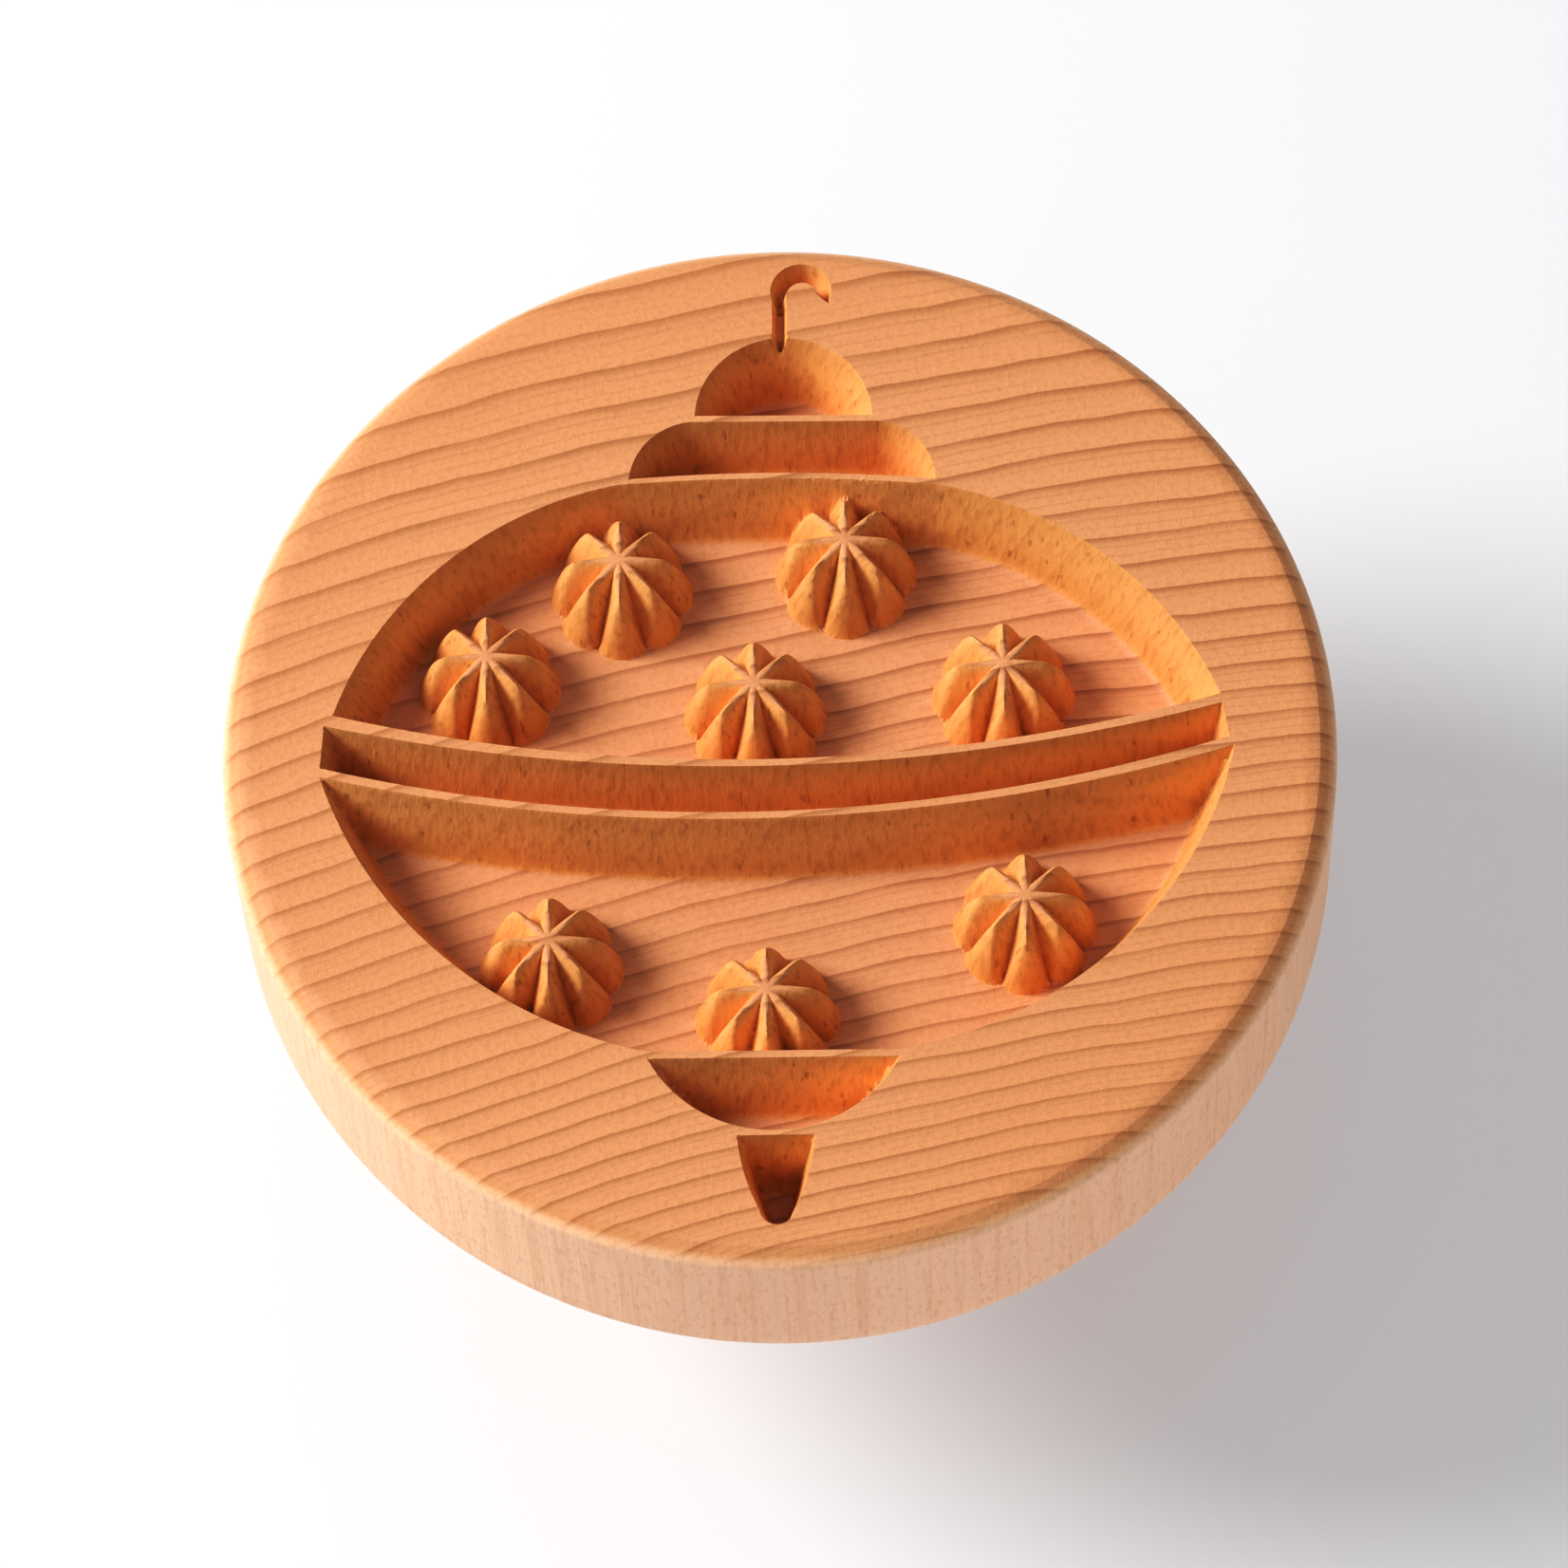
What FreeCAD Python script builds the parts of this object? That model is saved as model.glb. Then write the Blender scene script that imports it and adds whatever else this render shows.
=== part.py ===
import FreeCAD, Part
import os
import Sketcher
from FreeCAD import Placement, Rotation, Vector

# Wooden butter mold: a round plate with a Christmas-tree ball carved into its face,
# screwed onto a turned handle. It stands on the handle's flat foot, face up.
# Millimetres, +Z up, origin at the middle of the foot. +Y runs from the spike to the hook.

SIZES = {
    # plate
    "plate_radius": 40.0,
    "plate_thickness": 17.0,
    "rim_chamfer": 1.3,
    "back_chamfer": 0.8,
    # carving
    "pocket_depth": 6.6,
    "pocket_inset": 1.9,
    "groove_inset": 1.3,
    "spike_depth": 7.5,
    "spike_inset": 1.3,
    "hook_depth": 2.2,
    "hook_inset": 0.3,
    # star domes left standing in the pockets
    "dome_radius": 5.2,
    "dome_height": 6.4,
    "dome_hub_radius": 0.9,
    "dome_shoulder_radius": 3.4,
    "dome_shoulder_height": 5.5,
    "dome_waist_height": 2.4,
    "dome_ribs": 8,
    "valley_radius": 3.4,
    "valley_halfwidth": 1.5,
    # thread, counted as plain cylinders with a running gap
    "thread_radius": 3.0,
    "thread_gap": 0.06,
    "stud_point_radius": 2.2,
    "stud_depth": 22.0,
    "stud_rise": 8.4,
    # threaded insert in the plate's back
    "insert_radius": 4.5,
    "insert_length": 7.0,
    "insert_flange_radius": 6.2,
    "insert_flange_thickness": 1.0,
    "insert_hole_depth": 8.0,
    # washer
    "washer_radius": 8.0,
    "washer_hole_radius": 3.2,
    "washer_thickness": 1.2,
    # handle
    "handle_height": 36.8,
    "foot_radius": 13.0,
    "foot_edge": 0.6,
    "knob_radius": 17.0,
    "knob_height": 8.5,
    "knob_top_radius": 12.4,
    "knob_top_height": 17.4,
    "waist_radius": 8.6,
    "waist_height": 25.6,
    "neck_radius": 10.4,
    "neck_height": 33.0,
    "collar_radius": 12.6,
    "collar_height": 34.0,
    "collar_edge": 0.8,
    "bolt_hole_depth": 24.0,
}

# Middles of the star domes, in plate radii.
DOME_MIDDLES = [
    (-0.287, 0.368), (0.122, 0.402),
    (-0.527, 0.180), (-0.045, 0.120), (0.405, 0.150),
    (-0.413, -0.375), (-0.026, -0.477), (0.436, -0.305),
]

# Outlines of the carving, in plate radii: each corner, then the point that the arc to the
# next corner passes through, or None where that side is straight.
UPPER_POCKET = [
    ((-0.800, 0.063), (0.000, -0.036)),
    ((0.792, 0.078), (0.605, 0.345)),
    ((0.290, 0.504), (0.000, 0.521)),
    ((-0.290, 0.513), (-0.640, 0.325)),
]
LOWER_POCKET = [
    ((-0.822, -0.058), (-0.625, -0.383)),
    ((-0.235, -0.598), None),
    ((0.208, -0.600), (0.605, -0.402)),
    ((0.815, -0.024), (0.000, -0.152)),
]
BELT_GROOVE = [
    ((-0.822, -0.040), (0.000, -0.138)),
    ((0.806, -0.006), None),
    ((0.796, 0.060), (0.000, -0.050)),
    ((-0.816, 0.042), None),
]
COLLAR_GROOVE = [
    ((-0.268, 0.525), (0.000, 0.533)),
    ((0.288, 0.516), (0.262, 0.590)),
    ((0.190, 0.634), None),
    ((-0.160, 0.638), (-0.237, 0.597)),
]
CAP_BOWL = [
    ((-0.148, 0.651), None),
    ((0.174, 0.647), (0.013, 0.806)),
]
CUP_GROOVE = [
    ((-0.235, -0.612), (-0.010, -0.750)),
    ((0.210, -0.614), None),
]
SPIKE_GROOVE = [
    ((-0.078, -0.760), (-0.063, -0.840)),
    ((-0.040, -0.898), (-0.008, -0.927)),
    ((0.022, -0.898), (0.045, -0.840)),
    ((0.058, -0.760), None),
]
HOOK_GROOVE = [
    ((-0.006, 0.790), None),
    ((0.020, 0.790), None),
    ((0.021, 0.880), (0.047, 0.920)),
    ((0.078, 0.893), None),
    ((0.097, 0.877), (0.047, 0.957)),
    ((-0.006, 0.884), None),
]

doc = FreeCAD.newDocument("butter_mold")
sheet = doc.addObject("Spreadsheet::Sheet", "Sizes")
for row, (alias, value) in enumerate(SIZES.items(), start=1):
    sheet.set(f"A{row}", alias)
    sheet.set(f"B{row}", str(value))
    sheet.setAlias(f"B{row}", alias)
doc.recompute()


def plane_of(body, role):
    """One of the body's own origin planes or axes."""
    for feature in body.Origin.OriginFeatures:
        if feature.Role == role:
            return feature
    raise ValueError(role)


def new_body(label):
    body = doc.addObject("PartDesign::Body", label)
    body.Label = label
    return body


def new_sketch(body, name, role="XY_Plane", height=None):
    """A sketch on one of the body's origin planes, raised to the sheet's cell height."""
    sketch = body.newObject("Sketcher::SketchObject", name)
    sketch.AttachmentSupport = [(plane_of(body, role), "")]
    sketch.MapMode = "FlatFace"
    if height:
        sketch.setExpression("AttachmentOffset.Base.z", f"Sizes.{height}")
    return sketch


def bind(sketch, constraint, expression):
    """Add a dimension to the sketch and tie it to the sheet."""
    index = sketch.addConstraint(constraint)
    sketch.setExpression(f"Constraints[{index}]", expression)


def term_value(term):
    cell, factor = term
    return getattr(sheet, cell) * factor


def term_expression(term):
    cell, factor = term
    return f"Sizes.{cell} * {factor}"


def pin_point(sketch, edge, end, across, along):
    """Tie a point to two terms, each a cell of the sheet times a factor."""
    for kind, term in (("DistanceX", across), ("DistanceY", along)):
        value = term_value(term)
        axis_line = -2 if kind == "DistanceX" else -1
        if value == 0:
            sketch.addConstraint(Sketcher.Constraint("PointOnObject", edge, end, axis_line))
        else:
            dimension = Sketcher.Constraint(kind, -1, 1, edge, end, value)
            bind(sketch, dimension, term_expression(term))


def draw_outline(sketch, corners):
    """A closed outline of corners (across, along, via), each ending a line or an arc."""
    points = [Vector(term_value(across), term_value(along), 0) for across, along, _ in corners]
    edges = []
    for index, (_, _, via) in enumerate(corners):
        start = points[index]
        finish = points[(index + 1) % len(points)]
        if via is None:
            edges.append(sketch.addGeometry(Part.LineSegment(start, finish)))
            continue
        middle = Vector(term_value(via[0]), term_value(via[1]), 0)
        arc = Part.Arc(start, middle, finish)
        edges.append(sketch.addGeometry(arc))
    # An arc in a sketch always runs anticlockwise, so its ends are looked up, not assumed.
    ends = [arc_ends(sketch, edge, points[index]) for index, edge in enumerate(edges)]
    for index, edge in enumerate(edges):
        following = (index + 1) % len(edges)
        joint = Sketcher.Constraint(
            "Coincident", edge, ends[index][1], edges[following], ends[following][0])
        sketch.addConstraint(joint)
        pin_point(sketch, edge, ends[index][0], corners[index][0], corners[index][1])
        if corners[index][2] is not None:
            radius = sketch.Geometry[edge].Radius
            ratio = round(radius / sheet.plate_radius, 5)
            dimension = Sketcher.Constraint("Radius", edge, radius)
            bind(sketch, dimension, f"Sizes.plate_radius * {ratio}")


def arc_ends(sketch, edge, start):
    """Which of an edge's two ends lies at start: (start end, finish end)."""
    if sketch.getPoint(edge, 1).distanceToPoint(start) < 1e-6:
        return 1, 2
    return 2, 1


def in_plate_radii(outline):
    """Corners given in plate radii, written as terms of the sheet."""
    def term(value):
        return "plate_radius", value

    corners = []
    for (across, along), via in outline:
        through = None if via is None else (term(via[0]), term(via[1]))
        corners.append((term(across), term(along), through))
    return corners


def inset_outline(outline, distance):
    """The same outline moved inwards by a distance, given in plate radii like its points."""
    ring = []
    for corner, via in outline:
        ring.append(Vector(corner[0], corner[1], 0))
        if via is not None:
            ring.append(Vector(via[0], via[1], 0))
    moved = []
    for index, point in enumerate(ring):
        arriving = (point - ring[index - 1]).normalize()
        leaving = (ring[(index + 1) % len(ring)] - point).normalize()
        inwards = Vector(0, 0, 1).cross(arriving + leaving).normalize()
        stretch = inwards.dot(Vector(0, 0, 1).cross(arriving))
        place = point + inwards * (distance / stretch)
        moved.append((round(place.x, 4), round(place.y, 4)))
    smaller = []
    for _, via in outline:
        corner = moved.pop(0)
        smaller.append((corner, None if via is None else moved.pop(0)))
    return smaller


def draw_circle(sketch, cell, gap=""):
    edge = sketch.addGeometry(Part.Circle(Vector(0, 0, 0), Vector(0, 0, 1), getattr(sheet, cell)))
    sketch.addConstraint(Sketcher.Constraint("Coincident", edge, 3, -1, 1))
    bind(sketch, Sketcher.Constraint("Radius", edge, getattr(sheet, cell)), f"Sizes.{cell}{gap}")


def add_pad(body, name, sketch, length):
    pad = body.newObject("PartDesign::Pad", name)
    pad.Profile = sketch
    pad.setExpression("Length", length)
    sketch.Visibility = False
    doc.recompute()
    return pad


def add_pocket(body, name, sketch, depth, upwards=False):
    """Cut a sketch into the body and make sure that it took material away."""
    before = body.Tip.Shape.Volume
    pocket = body.newObject("PartDesign::Pocket", name)
    pocket.Profile = sketch
    pocket.Reversed = upwards
    pocket.setExpression("Length", depth)
    doc.recompute()
    if not body.Tip.Shape.Volume < before - 0.01:
        raise RuntimeError(f"{name} cut nothing")
    return pocket


def add_drafted_pocket(body, name, outline, depth, inset):
    """Cut a pocket whose walls lean in by inset on their way down to its flat floor."""
    before = body.Tip.Shape.Volume
    mouth = new_sketch(body, name + "_mouth", height="plate_thickness")
    draw_outline(mouth, in_plate_radii(outline))
    floor = new_sketch(body, name + "_floor")
    floor.setExpression("AttachmentOffset.Base.z", f"Sizes.plate_thickness - Sizes.{depth}")
    lean = getattr(sheet, inset) / sheet.plate_radius
    draw_outline(floor, in_plate_radii(inset_outline(outline, lean)))
    doc.recompute()
    loft = body.newObject("PartDesign::SubtractiveLoft", name)
    loft.Profile = mouth
    loft.Sections = [floor]
    loft.Ruled = True
    doc.recompute()
    if not body.Tip.Shape.Volume < before - 0.01:
        raise RuntimeError(f"{name} cut nothing")


def ring_edges(shape, height, radius):
    """Names of the circular edges at a height with a radius."""
    names = []
    for number, edge in enumerate(shape.Edges, start=1):
        if not isinstance(edge.Curve, Part.Circle):
            continue
        level = abs(edge.Curve.Center.z - height) < 1e-6
        if level and abs(edge.Curve.Radius - radius) < 1e-6:
            names.append(f"Edge{number}")
    return names


def add_chamfer(body, name, height, radius, size):
    base = body.Tip
    chamfer = body.newObject("PartDesign::Chamfer", name)
    chamfer.Base = (base, ring_edges(base.Shape, height, radius))
    chamfer.setExpression("Size", f"Sizes.{size}")
    doc.recompute()


def add_revolution(body, name, sketch):
    revolution = body.newObject("PartDesign::Revolution", name)
    revolution.Profile = sketch
    revolution.ReferenceAxis = (sketch, ["V_Axis"])
    revolution.Angle = 360
    doc.recompute()
    return revolution


def raise_to(feature, *cells):
    """Lift a finished piece by the sum of cells, from the foot of the handle."""
    total = " + ".join(f"Sizes.{cell}" for cell in cells)
    feature.setExpression("Placement.Base.z", total)


def make_star_dome():
    """A dome with a small flat hub and eight ribs, with V valleys between the ribs."""
    body = new_body("star_dome")
    profile = new_sketch(body, "dome_profile", "XZ_Plane")
    shoulder_bulge = (("dome_radius", 0.90), ("dome_height", 0.68))
    crown_bulge = (("dome_shoulder_radius", 0.66), ("dome_height", 0.965))
    draw_outline(profile, [
        (("dome_radius", 0), ("dome_height", 0), None),
        (("dome_radius", 1), ("dome_height", 0), None),
        (("dome_radius", 1), ("dome_waist_height", 1), shoulder_bulge),
        (("dome_shoulder_radius", 1), ("dome_shoulder_height", 1), crown_bulge),
        (("dome_hub_radius", 1), ("dome_height", 1), None),
        (("dome_radius", 0), ("dome_height", 1), None),
    ])
    turned = add_revolution(body, "dome_turned", profile)

    # A valley is a triangle, opening outwards, swept up along its sloping root.
    triangle = new_sketch(body, "valley_section")
    draw_outline(triangle, [
        (("valley_radius", 1), ("dome_radius", 0), None),
        (("valley_radius", 1.9), ("valley_halfwidth", -1), None),
        (("valley_radius", 1.9), ("valley_halfwidth", 1), None),
    ])
    lean = sheet.valley_radius - sheet.dome_hub_radius
    valley = add_pocket(body, "valley", triangle, "Sizes.dome_height + 1", upwards=True)
    valley.UseCustomVector = True
    valley.Direction = Vector(lean, 0, -sheet.dome_height)
    doc.recompute()

    pattern = body.newObject("PartDesign::PolarPattern", "valleys")
    pattern.Originals = [valley]
    pattern.Axis = (plane_of(body, "Z_Axis"), [""])
    pattern.Angle = 360
    pattern.setExpression("Occurrences", "Sizes.dome_ribs")
    body.Tip = pattern
    doc.recompute()
    print("star dome", round(body.Shape.Volume, 1), "mm3 of", round(turned.Shape.Volume, 1))
    return body


def make_mold_plate(dome):
    """The plate: turned disc, carved ball, star domes standing in its pockets."""
    body = new_body("carved_disc")
    disc = new_sketch(body, "disc_outline")
    draw_circle(disc, "plate_radius")
    add_pad(body, "disc", disc, "Sizes.plate_thickness")
    add_chamfer(body, "rim", sheet.plate_thickness, sheet.plate_radius, "rim_chamfer")
    add_chamfer(body, "back_rim", 0, sheet.plate_radius, "back_chamfer")

    flange = new_sketch(body, "insert_flange_seat")
    draw_circle(flange, "insert_flange_radius")
    add_pocket(body, "flange_recess", flange, "Sizes.insert_flange_thickness", upwards=True)
    hole = new_sketch(body, "insert_hole_outline")
    draw_circle(hole, "insert_radius")
    add_pocket(body, "insert_hole", hole, "Sizes.insert_hole_depth", upwards=True)

    carving = [
        ("upper_pocket", UPPER_POCKET, "pocket_depth", "pocket_inset"),
        ("lower_pocket", LOWER_POCKET, "pocket_depth", "pocket_inset"),
        ("belt_groove", BELT_GROOVE, "pocket_depth", "groove_inset"),
        ("collar_groove", COLLAR_GROOVE, "pocket_depth", "groove_inset"),
        ("cap_bowl", CAP_BOWL, "pocket_depth", "pocket_inset"),
        ("cup_groove", CUP_GROOVE, "pocket_depth", "groove_inset"),
        ("spike_groove", SPIKE_GROOVE, "spike_depth", "spike_inset"),
        ("hook_groove", HOOK_GROOVE, "hook_depth", "hook_inset"),
    ]
    for name, outline, depth, inset in carving:
        add_drafted_pocket(body, name, outline, depth, inset)

    standing = []
    for number, (across, along) in enumerate(DOME_MIDDLES, start=1):
        copy = doc.addObject("Part::Feature", f"dome_{number}")
        copy.Shape = dome.Shape
        middle = Vector(across, along, 0) * sheet.plate_radius
        floor = sheet.plate_thickness - sheet.pocket_depth
        copy.Placement = Placement(middle + Vector(0, 0, floor), Rotation())
        standing.append(copy)

    plate = doc.addObject("Part::MultiFuse", "mold_plate")
    plate.Label = "mold_plate"
    plate.Shapes = [body] + standing
    plate.Refine = False
    raise_to(plate, "handle_height", "washer_thickness")
    doc.recompute()
    return plate


def make_threaded_insert():
    """Brass insert pressed into the plate's back, flange flush with the wood."""
    body = new_body("threaded_insert")
    sleeve = new_sketch(body, "sleeve_outline")
    draw_circle(sleeve, "insert_radius")
    add_pad(body, "sleeve", sleeve, "Sizes.insert_length")
    flange = new_sketch(body, "flange_outline")
    draw_circle(flange, "insert_flange_radius")
    add_pad(body, "flange", flange, "Sizes.insert_flange_thickness")
    bore = new_sketch(body, "bore_outline")
    draw_circle(bore, "thread_radius", " + Sizes.thread_gap")
    add_pocket(body, "bore", bore, "Sizes.insert_length", upwards=True)
    raise_to(body, "handle_height", "washer_thickness")
    return body


def make_washer():
    """Flat steel washer lying on the handle, under the plate."""
    body = new_body("washer")
    ring = new_sketch(body, "washer_outline")
    draw_circle(ring, "washer_radius")
    draw_circle(ring, "washer_hole_radius")
    add_pad(body, "ring", ring, "Sizes.washer_thickness")
    raise_to(body, "handle_height")
    return body


def make_hanger_bolt():
    """Headless stud, half in the handle and half standing out for the insert."""
    body = new_body("hanger_bolt")
    shank = new_sketch(body, "shank_profile", "XZ_Plane")
    draw_outline(shank, [
        (("thread_radius", 0), ("stud_depth", -1), None),
        (("stud_point_radius", 1), ("stud_depth", -1), None),
        (("thread_radius", 1), ("stud_depth", -0.95), None),
        (("thread_radius", 1), ("stud_rise", 0.88), None),
        (("stud_point_radius", 1), ("stud_rise", 1), None),
        (("thread_radius", 0), ("stud_rise", 1), None),
    ])
    add_revolution(body, "shank", shank)
    raise_to(body, "handle_height")
    return body


def make_handle():
    """Turned handle: flat foot, round knob, slim waist and a collar under the plate."""
    body = new_body("handle")
    profile = new_sketch(body, "handle_profile", "XZ_Plane")
    knob_bulge = (("knob_radius", 1), ("knob_height", 1))
    waist_hollow = (("waist_radius", 1), ("waist_height", 1))
    draw_outline(profile, [
        (("knob_radius", 0), ("handle_height", 0), None),
        (("foot_radius", 1), ("handle_height", 0), knob_bulge),
        (("knob_top_radius", 1), ("knob_top_height", 1), waist_hollow),
        (("neck_radius", 1), ("neck_height", 1), None),
        (("collar_radius", 1), ("collar_height", 1), None),
        (("collar_radius", 1), ("handle_height", 1), None),
        (("knob_radius", 0), ("handle_height", 1), None),
    ])
    add_revolution(body, "turned_handle", profile)
    add_chamfer(body, "collar_rim", sheet.handle_height, sheet.collar_radius, "collar_edge")
    add_chamfer(body, "foot_rim", 0, sheet.foot_radius, "foot_edge")
    hole = new_sketch(body, "bolt_hole_outline", height="handle_height")
    draw_circle(hole, "thread_radius")
    add_pocket(body, "bolt_hole", hole, "Sizes.bolt_hole_depth")
    return body


star_dome = make_star_dome()
pieces = [
    make_handle(),
    make_hanger_bolt(),
    make_washer(),
    make_threaded_insert(),
    make_mold_plate(star_dome),
]
doc.recompute()

for feature in doc.Objects:
    if "Invalid" in feature.State or "Error" in feature.State:
        raise RuntimeError(f"{feature.Name} failed: {feature.State}")
for piece in pieces:
    if piece.Shape.isNull() or not piece.Shape.isValid():
        raise RuntimeError(f"{piece.Label} has no valid shape")
    if len(piece.Shape.Solids) != 1:
        raise RuntimeError(f"{piece.Label} has {len(piece.Shape.Solids)} solids")

os.makedirs("parts", exist_ok=True)
for piece in pieces:
    piece.Shape.exportStep(f"parts/{piece.Label}.step")
    print(piece.Label, round(piece.Shape.Volume, 1), "mm3", piece.Shape.BoundBox)
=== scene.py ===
import math

import bmesh
import bpy
import numpy as np
from mathutils import Matrix, Vector
from mathutils.geometry import delaunay_2d_cdt


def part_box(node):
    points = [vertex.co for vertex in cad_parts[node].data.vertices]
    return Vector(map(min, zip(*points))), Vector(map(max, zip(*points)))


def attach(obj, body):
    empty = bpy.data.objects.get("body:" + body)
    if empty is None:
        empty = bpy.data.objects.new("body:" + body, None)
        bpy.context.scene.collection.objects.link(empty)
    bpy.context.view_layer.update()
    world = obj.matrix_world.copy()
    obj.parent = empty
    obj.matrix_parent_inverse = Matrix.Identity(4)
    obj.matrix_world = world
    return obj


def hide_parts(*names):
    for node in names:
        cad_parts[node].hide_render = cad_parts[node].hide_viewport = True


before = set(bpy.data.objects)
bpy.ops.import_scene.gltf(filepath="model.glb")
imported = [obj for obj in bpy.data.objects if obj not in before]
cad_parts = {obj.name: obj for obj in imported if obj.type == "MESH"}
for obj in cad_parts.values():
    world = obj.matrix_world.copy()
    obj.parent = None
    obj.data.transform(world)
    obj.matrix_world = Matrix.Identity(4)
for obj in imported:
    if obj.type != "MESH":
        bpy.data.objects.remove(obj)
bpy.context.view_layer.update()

MM = 0.001

# ---------------------------------------------------------------- sizes, from the frame
plate_low, plate_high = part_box("mold_plate")
handle_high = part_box("handle")[1]
stud_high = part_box("hanger_bolt")[1]
insert_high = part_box("threaded_insert")[1]

PLATE_RADIUS = plate_high.x
FACE_HEIGHT = plate_high.z
BACK_HEIGHT = plate_low.z
RIM_CHAMFER = 1.3 * MM
BACK_CHAMFER = 0.8 * MM
FLANGE_RADIUS = insert_high.x
FLANGE_DEPTH = 1.0 * MM
STUD_RADIUS = stud_high.x
STUD_TOP = stud_high.z
STUD_FOOT_DEPTH = 4 * MM
THREAD_PITCH = 1.0 * MM
THREAD_ROOT = 2.45 * MM
HANDLE_TOP = handle_high.z
HANDLE_BORE = 3.02 * MM
HANDLE_BORE_DEPTH = 6 * MM

# ---------------------------------------------------------------- carving, in millimetres
POCKET_DEPTH = 6.6
POCKET_SLOPE = 6.6 / 1.9
GROOVE_SLOPE = 6.6 / 1.3
SPIKE_DEPTH = 7.5
SPIKE_SLOPE = 7.5 / 1.3
HOOK_DEPTH = 2.2
HOOK_SLOPE = 5.0
MOUTH_ROUND = 0.10
FLOOR_ROUND = 0.9

DOME_RADIUS = 5.2
DOME_HEIGHT = 6.4
DOME_HUB = 0.8
DOME_RIBS = 8
DOME_SHOULDER = 2.7
LOBE_ROUND = 0.13
VALLEY_RADIUS = 4.3
VALLEY_WALL = 3.7
CREST_FALL = 0.10
CREST_ROUND = 0.4
FLANK_POWER = 1.6
VALLEY_ROUND = 0.9
BELOW_ANY_FLOOR = -9.0
LEAST_COVER = 0.1
CARVED_FROM = 0.3

# Mesh points: rings over a dome, and rows beside an outline, in millimetres.
DOME_REACHES = [0.4, 0.8, 1.1, 1.5, 1.9, 2.3, 2.7, 3.1, 3.5,
                3.8, 4.1, 4.4, 4.65, 4.85, 5.0, 5.1, 5.18, 5.3]
ROW_OFFSETS = [-0.30, -0.10, -0.02, 0.04, 0.12, 0.3, 0.55, 0.8,
               1.05, 1.3, 1.55, 1.75, 1.95, 2.2, 2.6]
EDGE_COUNT = 720
GRID_SPACING = 1.0
FILL_GAP = 0.8

# Middles of the star domes, in plate radii.
DOME_MIDDLES = [
    (-0.287, 0.368), (0.122, 0.402),
    (-0.527, 0.180), (-0.045, 0.120), (0.405, 0.150),
    (-0.413, -0.375), (-0.026, -0.477), (0.436, -0.305),
]

# Outlines of the carving, in plate radii: each corner, then the point that the arc to the
# next corner passes through, or None where that side is straight.
UPPER_POCKET = [
    ((-0.800, 0.063), (0.000, -0.036)),
    ((0.792, 0.078), (0.605, 0.345)),
    ((0.290, 0.504), (0.000, 0.521)),
    ((-0.290, 0.513), (-0.640, 0.325)),
]
LOWER_POCKET = [
    ((-0.822, -0.058), (-0.625, -0.383)),
    ((-0.235, -0.598), None),
    ((0.208, -0.600), (0.605, -0.402)),
    ((0.815, -0.024), (0.000, -0.152)),
]
BELT_GROOVE = [
    ((-0.822, -0.040), (0.000, -0.138)),
    ((0.806, -0.006), None),
    ((0.796, 0.060), (0.000, -0.050)),
    ((-0.816, 0.042), None),
]
COLLAR_GROOVE = [
    ((-0.268, 0.525), (0.000, 0.533)),
    ((0.288, 0.516), (0.262, 0.590)),
    ((0.190, 0.634), None),
    ((-0.160, 0.638), (-0.237, 0.597)),
]
CAP_BOWL = [
    ((-0.148, 0.651), None),
    ((0.174, 0.647), (0.013, 0.806)),
]
CUP_GROOVE = [
    ((-0.235, -0.612), (-0.010, -0.750)),
    ((0.210, -0.614), None),
]
SPIKE_GROOVE = [
    ((-0.078, -0.760), (-0.063, -0.840)),
    ((-0.040, -0.898), (-0.008, -0.927)),
    ((0.022, -0.898), (0.045, -0.840)),
    ((0.058, -0.760), None),
]
HOOK_GROOVE = [
    ((-0.006, 0.790), None),
    ((0.020, 0.790), None),
    ((0.021, 0.880), (0.047, 0.920)),
    ((0.078, 0.893), None),
    ((0.097, 0.877), (0.047, 0.957)),
    ((-0.006, 0.884), None),
]
CARVING = [
    (UPPER_POCKET, POCKET_DEPTH, POCKET_SLOPE),
    (LOWER_POCKET, POCKET_DEPTH, POCKET_SLOPE),
    (BELT_GROOVE, POCKET_DEPTH, GROOVE_SLOPE),
    (COLLAR_GROOVE, POCKET_DEPTH, GROOVE_SLOPE),
    (CAP_BOWL, POCKET_DEPTH, POCKET_SLOPE),
    (CUP_GROOVE, POCKET_DEPTH, POCKET_SLOPE),
    (SPIKE_GROOVE, SPIKE_DEPTH, SPIKE_SLOPE),
    (HOOK_GROOVE, HOOK_DEPTH, HOOK_SLOPE),
]


# ---------------------------------------------------------------- plane geometry
def arc_points(start, via, finish, spacing):
    """Points from start up to, but not including, finish, along the arc through via."""
    start, finish = np.array(start, float), np.array(finish, float)
    if via is None:
        count = max(1, int(np.linalg.norm(finish - start) / spacing))
        steps = np.arange(count)[:, None] / count
        return start + (finish - start) * steps
    middle = np.array(via, float)
    sides = np.array([middle - start, finish - start]) * 2
    heights = np.array([middle @ middle - start @ start, finish @ finish - start @ start])
    centre = np.linalg.solve(sides, heights)
    radius = np.linalg.norm(start - centre)
    turn = []
    for point in (start, middle, finish):
        turn.append(math.atan2(point[1] - centre[1], point[0] - centre[0]))
    full = 2 * math.pi
    to_middle, to_finish = (turn[1] - turn[0]) % full, (turn[2] - turn[0]) % full
    sweep = to_finish if to_middle < to_finish else to_finish - full
    count = max(2, int(abs(sweep) * radius / spacing))
    angles = turn[0] + sweep * np.arange(count) / count
    return centre + radius * np.column_stack([np.cos(angles), np.sin(angles)])


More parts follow.
